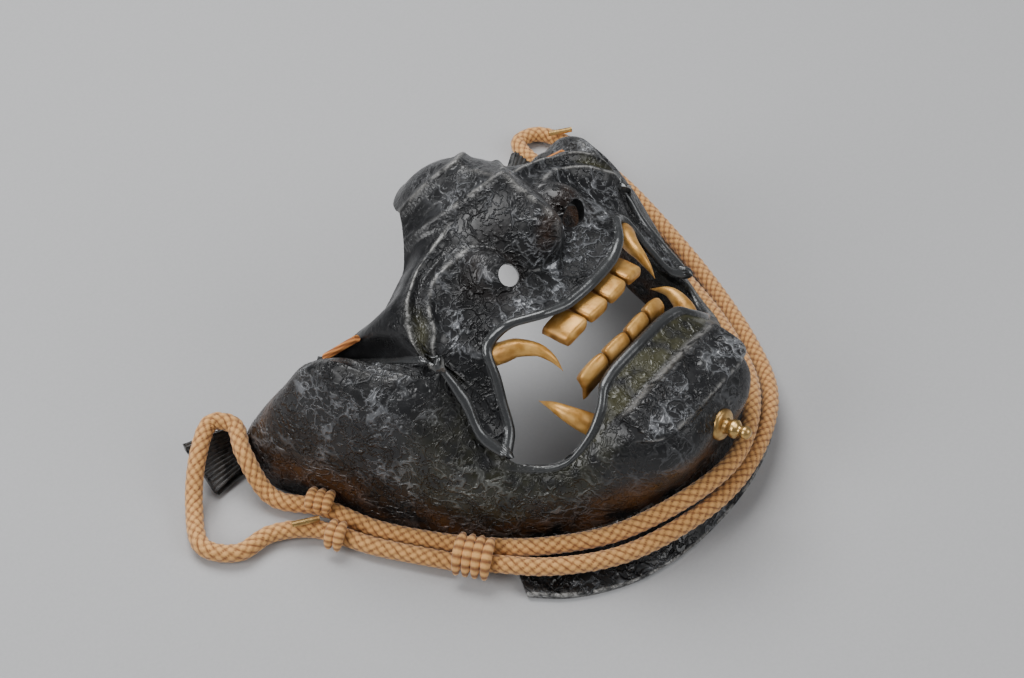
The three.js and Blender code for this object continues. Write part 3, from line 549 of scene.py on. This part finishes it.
# name, node, pitch, front of a tooth as (y, z) from root to edge, the way it looks
rows = [
    ("teeth_upper", "upper_teeth", 10.4,
     [(-15.5, 68.2), (-19.5, 68.9), (-24, 68.9), (-25.6, 68.0)], (-0.05, 1)),
    ("teeth_lower", "lower_teeth", 11.2,
     [(-34.4, 51.0), (-34.3, 55.8), (-32.4, 58.6), (-31.2, 58.9)], (-0.6, 0.8)),
]
gilded = []
for name, node, pitch, face, out in rows:
    bodies, painted_shadings = tooth_row(pitch, face, out)
    gilded.append(join_rings(name, bodies, painted_shadings))
    seat(gilded[-1], "gilt", node)
# root radius, points along the middle from root to tip on the far side
horns = {
    "upper": (3.7, [(36, -2.5, 58), (33.2, -8, 61.6), (30, -11.8, 63.4),
                    (27.2, -17, 63.6), (25.8, -22.3, 61.4), (25.3, -25.8, 57.9)]),
    "lower": (3.6, [(27.5, -39, 43.5), (30.2, -34.3, 46.4), (31.6, -27.9, 48), (30.9, -20.8, 45.9)]),
}
for jaw_name, (radius, path) in horns.items():
    for side_name, side in (("near", -1), ("far", 1)):
        t = np.linspace(0, 1, 44)
        line = curve(np.array(path) * (side, 1, 1), t * (len(path) - 1))
        rings = rings_along(line, np.maximum(radius * (1 - t ** 1.7), 0.12), 28)
        # Painted shade: the fang is darker toward its root.
        painted_shading = np.clip(0.9 - 1.6 * t, 0, 1)[:, None]
        gilded.append(join_rings(f"horn_{jaw_name}_{side_name}", [rings], [painted_shading]))
        seat(gilded[-1], "gilt", f"{jaw_name}_fang_{side_name}")

# %% [markdown]
# The peg on the chin is turned: a profile spun about an axis that points forward and a little up.
# The pins keep their CAD solids, which already have the right shape.

# %% Chin peg
# radius, distance from the seat
profile = np.array([
    (0.05, 0.9), (5.2, 0.9), (5.2, 2.2), (4.9, 2.7), (4.3, 3.0), (2.7, 3.3), (2.4, 4.0), (2.4, 5.0), (2.9, 5.6),
    (3.05, 6.3), (2.95, 7.1), (2.2, 7.7), (1.7, 8.4), (1.75, 9.2), (2.1, 9.9), (2.15, 10.6), (1.9, 11.4),
    (1.2, 12.1), (0.1, 12.4),
])
seat_middle = np.array((0, -67.4, 39.1))
tilt = math.radians(12)
axis = np.array((0, -math.cos(tilt), math.sin(tilt)))
turn = np.linspace(0, 2 * np.pi, 56, endpoint=False)
wheel = np.cos(turn)[:, None] * np.array((1, 0, 0)) + np.sin(turn)[:, None] * np.cross(axis, (1, 0, 0))
rings = seat_middle + profile[:, 1][:, None, None] * axis + profile[:, 0][:, None, None] * wheel
peg = join_rings("peg", [rings], [np.zeros((len(profile), 1))])
peg.data.set_sharp_from_angle(angle=math.radians(40))
seat(peg, "brass", "chin_peg")

# %% [markdown]
# The tie cord is one round braid of 6 mm, doubled: from the knot at the near side it runs round the chin to
# the far ear, comes back above itself, follows the near cheek, goes round the near ear and ends at the knot.
# Its strands cross over and under in a V pattern, so its surface is raised where a strand lies on top.

# %% Tie cord, knots and laces
# x, y, z in mm
CORD_ROUTE = [
    (-66.8, -27, 5.8),
    (-57, -45.5, 8.2),
    (-39.8, -61.2, 9),
    (-16.5, -72, 12.2),
    (4, -74.6, 12.8),
    (28, -70, 11.5),
    (46, -61.2, 9.5),
    (62, -44.5, 7),
    (82, -16, 3.2),
    (96, 12, 3.2),
    (109, 44, 3.2),
    (115, 72, 3.2),
    (112, 84.5, 3.2),
    (104, 87, 3.2),
    (99.5, 79, 3.2),
    (97.5, 52, 3.2),
    (87, 20, 3.2),
    (76, -10, 5),
    (56.5, -38.5, 12),
    (33.5, -61.2, 19),
    (10, -71.4, 20.6),
    (-8, -71, 20.2),
    (-34.8, -56.8, 12.4),
    (-51, -40.6, 9),
    (-60.6, -25.5, 6.6),
    (-67.2, -8.4, 3.2),
    (-75.2, 11, 3.2),
    (-79.6, 29.5, 4.6),
    (-85.6, 46, 4),
    (-83, 59.5, 14),
    (-77.4, 68.5, 16.4),
    (-81, 75, 16.6),
    (-91.5, 71.6, 13),
    (-104, 63.2, 4.6),
    (-113.8, 50.5, 3.2),
    (-109, 40, 3.2),
    (-97, 36.6, 3.2),
    (-87.4, 27, 3.2),
    (-80.8, 6, 3.2),
    (-71, -17.5, 3.4),
]


def smooth_path(points, step):
    """Centripetal Catmull-Rom curve through the points, sampled evenly every step mm."""
    p = np.asarray(points, float)
    p = np.concatenate([[2 * p[0] - p[1]], p, [2 * p[-1] - p[-2]]])
    pieces = []
    for a, b, c, d in zip(p[:-3], p[1:-2], p[2:-1], p[3:]):
        t1 = np.linalg.norm(b - a) ** 0.5
        t2 = t1 + np.linalg.norm(c - b) ** 0.5
        t3 = t2 + np.linalg.norm(d - c) ** 0.5
        t = np.linspace(t1, t2, 60, endpoint=False)[:, None]
        ab = a * (t1 - t) / t1 + b * t / t1
        bc = b * (t2 - t) / (t2 - t1) + c * (t - t1) / (t2 - t1)
        cd = c * (t3 - t) / (t3 - t2) + d * (t - t2) / (t3 - t2)
        abc = ab * (t2 - t) / t2 + bc * t / t2
        bcd = bc * (t3 - t) / (t3 - t1) + cd * (t - t1) / (t3 - t1)
        pieces.append(abc * (t2 - t) / (t2 - t1) + bcd * (t - t1) / (t2 - t1))
    fine = np.concatenate(pieces + [p[-2:-1]])
    run = np.concatenate([[0], np.cumsum(np.linalg.norm(np.diff(fine, axis=0), axis=1))])
    even = np.linspace(0, run[-1], int(run[-1] / step) + 2)
    return np.stack([np.interp(even, run, fine[:, k]) for k in range(3)], axis=1), run[-1]


def braid(name, points, radius, sides=36, step=0.5, strands=6, lay=3.4):
    """Round braid: two families of helices cross over and under, and the one on top swells out."""
    path, length = smooth_path(points, step)
    turn = np.arange(sides) / sides
    run = np.linspace(0, length, len(path))
    u = strands * turn[None] + run[:, None] / lay
    v = strands * turn[None] - run[:, None] / lay
    over = (np.floor(u) + np.floor(v)) % 2 < 1
    across = np.where(over, u % 1, v % 1)
    along = np.where(over, v % 1, u % 1)
    height = np.sin(np.pi * across) ** 0.6 * (0.55 + 0.45 * np.sin(np.pi * along))
    rings = rings_along(path, radius - 0.42 + 0.42 * height, sides)
    # The strand height is also kept as painted shading: the braid is painted darker in the gaps and lighter on
    # the strand tops.
    return join_rings(name, [rings], [height]), path, length


cord, path, cord_length = braid("cord", CORD_ROUTE, 3.0)
seat(cord, "braid", "tie_cord")
print("cord length in mm:", round(cord_length))

# centre, along, rise, reach, from degrees, to degrees, places of the turns
KNOTS = {
    "knot_chin": ((-66.8, -22.6, 4.8), (0.4, -0.92, 0), 7.3, 7.0, -35, 92, (-4.6, -1.5, 1.5, 4.6)),
    "knot_cheek": ((-80.1, 29.8, 4.7), (-0.39, 0.92, 0), 5.3, 5.3, -54, 52, (-2.9, 0, 2.9)),
    "knot_floor": ((-84.9, 18.5, 3.2), (-0.32, 0.95, 0), 5.3, 5.3, -88, 24, (-1.5, 1.5)),
}
wraps = []
for node, (centre, along, rise, reach, start, end, turns) in KNOTS.items():
    along = np.array(along) / np.linalg.norm(along)
    side = np.cross(along, (0, 0, 1))
    angle = np.radians(np.linspace(start, end, 12))
    bodies, heights = [], []
    for shift in turns:
        bend = np.cos(angle)[:, None] * rise * np.array((0, 0, 1)) + np.sin(angle)[:, None] * reach * side
        turn_path, length = smooth_path(np.array(centre) + shift * along + bend, 0.5)
        grow = np.sin(np.linspace(0.12, np.pi - 0.12, len(turn_path))) ** 0.35
        bodies.append(rings_along(turn_path, 1.75 * grow, 24))
        # These heights become painted shading on the wraps: lighter and darker bands along each turn.
        heights.append((0.6 + 0.4 * np.sin(np.linspace(0, 40, len(turn_path))))[:, None])
    wraps.append(join_rings(f"wrap_{node}", bodies, heights))
    seat(wraps[-1], "braid", node)
pins = [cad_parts["pin_near"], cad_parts["pin_far"]]

laces = [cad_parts[name] for name in ("lace_stitch_near", "lace_stitch_far")]

# %% [markdown]
# Paint and wear are worked out from place, not from pictures. Fine veins come from folds of warped noise and
# stand up as relief; silver is dry-brushed on them. Wear, olive, rust and bead are values kept at the
# mesh points, which say where each finish lies; the pale wear on crests and hem edges is partly a painted
# highlight.

# %% Materials
class Paint:
    """A small wrapper that adds shader nodes and links sockets given as inputs."""

    def __init__(self, name):
        self.material = bpy.data.materials.new(name)
        self.material.use_nodes = True
        self.tree = self.material.node_tree
        self.shader = self.tree.nodes["Principled BSDF"]
        self.place = self.add("TexCoord").outputs["Object"]

    def put(self, socket, value):
        if isinstance(value, bpy.types.NodeSocket):
            self.tree.links.new(value, socket)
        elif isinstance(value, (tuple, list)) and len(value) == 3 and socket.type == "RGBA":
            socket.default_value = (*value, 1)
        else:
            socket.default_value = value

    def add(self, kind, settings=None, **inputs):
        node = self.tree.nodes.new("ShaderNode" + kind)
        for key, value in (settings or {}).items():
            setattr(node, key, value)
        for key, value in inputs.items():
            self.put(node.inputs[key.replace("_", " ")], value)
        return node

    def math(self, operation, a, b=0.0):
        node = self.add("Math", {"operation": operation})
        self.put(node.inputs[0], a)
        self.put(node.inputs[1], b)
        return node.outputs[0]

    def step(self, value, start, end, low=0.0, high=1.0):
        node = self.add("MapRange", {"interpolation_type": "SMOOTHSTEP"})
        for socket, given in zip(node.inputs, (value, start, end, low, high)):
            self.put(socket, given)
        return node.outputs["Result"]

    def mix(self, factor, a, b):
        node = self.add("Mix", {"data_type": "RGBA"})
        self.put(node.inputs[0], factor)
        self.put(node.inputs[6], a)
        self.put(node.inputs[7], b)
        return node.outputs[2]

    def value(self, name):
        return self.add("Attribute", {"attribute_name": name}).outputs["Fac"]

    def noise(self, scale, detail=3.0, place=None):
        return self.add("TexNoise", Vector=place or self.place, Scale=scale, Detail=detail).outputs["Fac"]

    def warp(self, scale, amount):
        shift = self.add("TexNoise", Vector=self.place, Scale=scale, Detail=3.0).outputs["Color"]
        scaled = self.add("VectorMath", {"operation": "SCALE"}, Vector=shift, Scale=amount).outputs["Vector"]
        node = self.add("VectorMath", {"operation": "ADD"})
        self.put(node.inputs[0], self.place)
        self.put(node.inputs[1], scaled)
        return node.outputs["Vector"]

    def bump(self, height, strength, distance):
        node = self.add("Bump", Strength=strength, Distance=distance, Height=height)
        self.put(self.shader.inputs["Normal"], node.outputs["Normal"])

    def finish(self, colour, rough, metal=0.0):
        self.put(self.shader.inputs["Base Color"], colour)
        self.put(self.shader.inputs["Roughness"], rough)
        self.put(self.shader.inputs["Metallic"], metal)
        return self.material


def lacquer_paint():
    """Black with folded wrinkles: ridges of warped noise stand up and catch a little dry-brushed silver."""
    p = Paint("lacquer")
    place = p.warp(90, 0.010)
    long_folds = p.math("ABSOLUTE", p.math("SUBTRACT", p.noise(130, 2, place), 0.5))
    short_folds = p.math("ABSOLUTE", p.math("SUBTRACT", p.noise(300, 2, p.warp(200, 0.006)), 0.5))
    ridge = p.step(long_folds, 0.0, 0.055, 1.0, 0.0)
    small = p.step(short_folds, 0.0, 0.06, 1.0, 0.0)
    veins = p.math("MAXIMUM", ridge, p.math("MULTIPLY", small, 0.7))
    shown = p.math("MULTIPLY", veins, p.value("veins"))
    brushed = p.math("MULTIPLY", shown, p.step(p.noise(75, 4), 0.42, 0.66))
    colour = p.mix(p.step(p.noise(60, 5), 0.35, 0.7), (0.004, 0.004, 0.0045), (0.014, 0.014, 0.015))
    rusted = p.math("MULTIPLY", p.value("rust"), p.step(p.noise(95, 5), 0.36, 0.62))
    colour = p.mix(rusted, colour, (0.085, 0.034, 0.010))
    mossy = p.math("MULTIPLY", p.value("olive"), p.step(p.noise(150, 4), 0.3, 0.6))
    colour = p.mix(mossy, colour, (0.040, 0.038, 0.016))
    silver = p.mix(p.value("olive"), (0.38, 0.39, 0.41), (0.16, 0.16, 0.10))
    silver = p.mix(p.math("MULTIPLY", p.value("rust"), 0.7), silver, (0.18, 0.085, 0.03))
    colour = p.mix(p.math("MULTIPLY", brushed, 0.75), colour, silver)
    colour = p.mix(p.value("bead"), colour, (0.085, 0.087, 0.088))
    # Pale rub on crests and edges: partly real wear, partly a painted highlight.
    rubbed_and_highlight = p.math("MULTIPLY", p.value("wear_and_highlight"), p.step(p.noise(260, 4), 0.36, 0.56))
    colour = p.mix(p.math("MULTIPLY", rubbed_and_highlight, 0.9), colour, (0.42, 0.41, 0.39))
    metal = p.math("MULTIPLY", p.math("MAXIMUM", p.value("bead"), brushed), 0.6)
    gloss = p.math("MULTIPLY", p.value("bead"), 0.10)
    rough = p.math("SUBTRACT", p.step(p.noise(220, 3), 0.3, 0.7, 0.27, 0.42), gloss)
    relief = p.math("ADD", shown, p.math("MULTIPLY", p.noise(700, 3), 0.10))
    p.bump(relief, 0.9, 0.0011)
    return p.finish(colour, rough, metal)


def gilt_paint():
    p = Paint("gilt")
    streak = p.noise(330, 4, p.warp(60, 0.01))
    gold = p.mix(p.step(streak, 0.3, 0.7), (0.56, 0.27, 0.055), (0.76, 0.43, 0.12))
    # Painted shade: the gold darkens toward the roots and between the teeth.
    root_shade = p.math("MULTIPLY", p.value("painted_shading"), p.step(p.noise(170, 3), 0.25, 0.6))
    colour = p.mix(p.math("MULTIPLY", root_shade, 0.8), gold, (0.16, 0.065, 0.018))
    p.bump(p.noise(520, 3), 0.25, 0.0004)
    return p.finish(colour, p.step(streak, 0.2, 0.8, 0.32, 0.5), 0.45)


def brass_paint():
    p = Paint("brass")
    tarnish = p.noise(260, 4)
    colour = p.mix(p.step(tarnish, 0.4, 0.7), (0.62, 0.40, 0.15), (0.34, 0.19, 0.07))
    p.bump(p.noise(900, 2), 0.12, 0.0002)
    return p.finish(colour, p.step(tarnish, 0.3, 0.7, 0.24, 0.42), 0.9)


def braid_paint(name, shaded_gap, top):
    p = Paint(name)
    fibre = p.noise(1500, 3)
    # Painted shade in the gaps between strands, painted light on the strand tops.
    shade = p.math("MULTIPLY", p.value("painted_shading"), p.step(fibre, 0.2, 0.8, 0.8, 1.1))
    colour = p.mix(p.step(shade, 0.1, 0.95), shaded_gap, top)
    p.bump(fibre, 0.4, 0.0003)
    p.put(p.shader.inputs["Sheen Weight"], 0.3)
    return p.finish(colour, 0.85)


def lace_paint():
    p = Paint("lace")
    twist = p.add("TexWave", {"bands_direction": "DIAGONAL"}, Vector=p.place, Scale=260.0).outputs["Fac"]
    colour = p.mix(twist, (0.30, 0.09, 0.02), (0.66, 0.26, 0.07))
    p.bump(twist, 0.5, 0.0004)
    return p.finish(colour, 0.8)


def floor_paint():
    p = Paint("floor")
    colour = p.mix(p.noise(900, 3), (0.42, 0.42, 0.425), (0.47, 0.47, 0.475))
    return p.finish(colour, 0.75)


def dress(material, *objects):
    for obj in objects:
        obj.data.materials.clear()
        obj.data.materials.append(material)


dress(lacquer_paint(), upper_face, jaw_shell, throat_plate, *tabs)
dress(gilt_paint(), *gilded)
dress(brass_paint(), peg, *pins)
dress(braid_paint("braid", (0.22, 0.075, 0.018), (0.76, 0.40, 0.13)), cord, *wraps)
dress(lace_paint(), *laces)
dress(floor_paint(), floor)
print("materials:", ", ".join(sorted(m.name for m in bpy.data.materials if m.users)))
